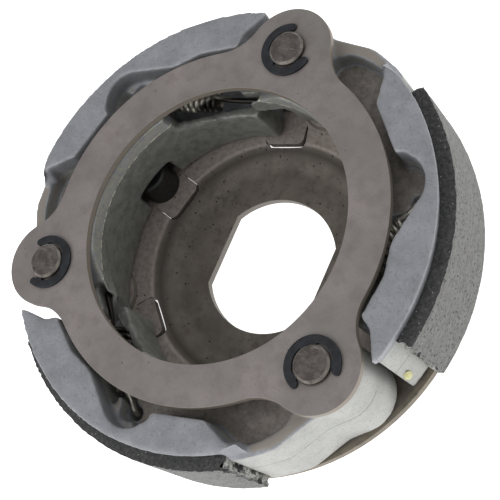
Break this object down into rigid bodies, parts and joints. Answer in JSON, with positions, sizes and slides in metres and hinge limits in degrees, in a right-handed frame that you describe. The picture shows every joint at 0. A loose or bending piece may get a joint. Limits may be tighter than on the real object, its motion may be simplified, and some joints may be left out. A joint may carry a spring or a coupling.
{
  "type": "centrifugal clutch",
  "caption": "Dry centrifugal clutch: hinged lined shoes on a dished back plate, pulled in by coil springs and held down by a ring plate and clips.",
  "frame": {"origin": "centre of the hub hole at the underside of the dished floor", "axes": "+Z along the hub axis towards the retaining ring plate; +Y through the pivot pin of shoe 1"},
  "size_m": [0.1054, 0.1043, 0.034],
  "materials": {
    "pressed_steel": "dull",
    "ring_steel": "satin",
    "pin_steel": "satin",
    "clip_steel": "satin",
    "cast_aluminium": "satin",
    "friction_compound": "matte",
    "spring_steel": "satin",
    "black_rubber": "satin"
  },
  "bodies": {
    "plate": {"back_plate": "pressed_steel", "retaining_ring_plate": "ring_steel", "pivot_pin_1": "pin_steel", "pivot_pin_2": "pin_steel", "pivot_pin_3": "pin_steel", "e_clip_1": "clip_steel", "e_clip_2": "clip_steel", "e_clip_3": "clip_steel", "damper_rubber_1": "black_rubber", "damper_rubber_2": "black_rubber", "damper_rubber_3": "black_rubber"},
    "shoe_body_1": {"shoe_1": "cast_aluminium", "friction_lining_1": "friction_compound", "return_spring_1": "spring_steel"},
    "shoe_body_2": {"shoe_2": "cast_aluminium", "friction_lining_2": "friction_compound", "return_spring_2": "spring_steel"},
    "shoe_body_3": {"shoe_3": "cast_aluminium", "friction_lining_3": "friction_compound", "return_spring_3": "spring_steel"}
  },
  "joints": [
    {"name": "shoe_1_pivot", "type": "hinge", "parent": "plate", "child": "shoe_body_1", "pos_m": [0, 0.0415, 0.018], "axis": [0, 0, 1], "range_deg": [0, 4], "stiffness_Nm_per_rad": 4, "springref_deg": -5.73, "deforming": ["return_spring_1"]},
    {"name": "shoe_2_pivot", "type": "hinge", "parent": "plate", "child": "shoe_body_2", "pos_m": [-0.03594, -0.02075, 0.018], "axis": [0, 0, 1], "range_deg": [0, 4], "stiffness_Nm_per_rad": 4, "springref_deg": -5.73, "deforming": ["return_spring_2"]},
    {"name": "shoe_3_pivot", "type": "hinge", "parent": "plate", "child": "shoe_body_3", "pos_m": [0.03594, -0.02075, 0.018], "axis": [0, 0, 1], "range_deg": [0, 4], "stiffness_Nm_per_rad": 4, "springref_deg": -5.73, "deforming": ["return_spring_3"]}
  ]
}
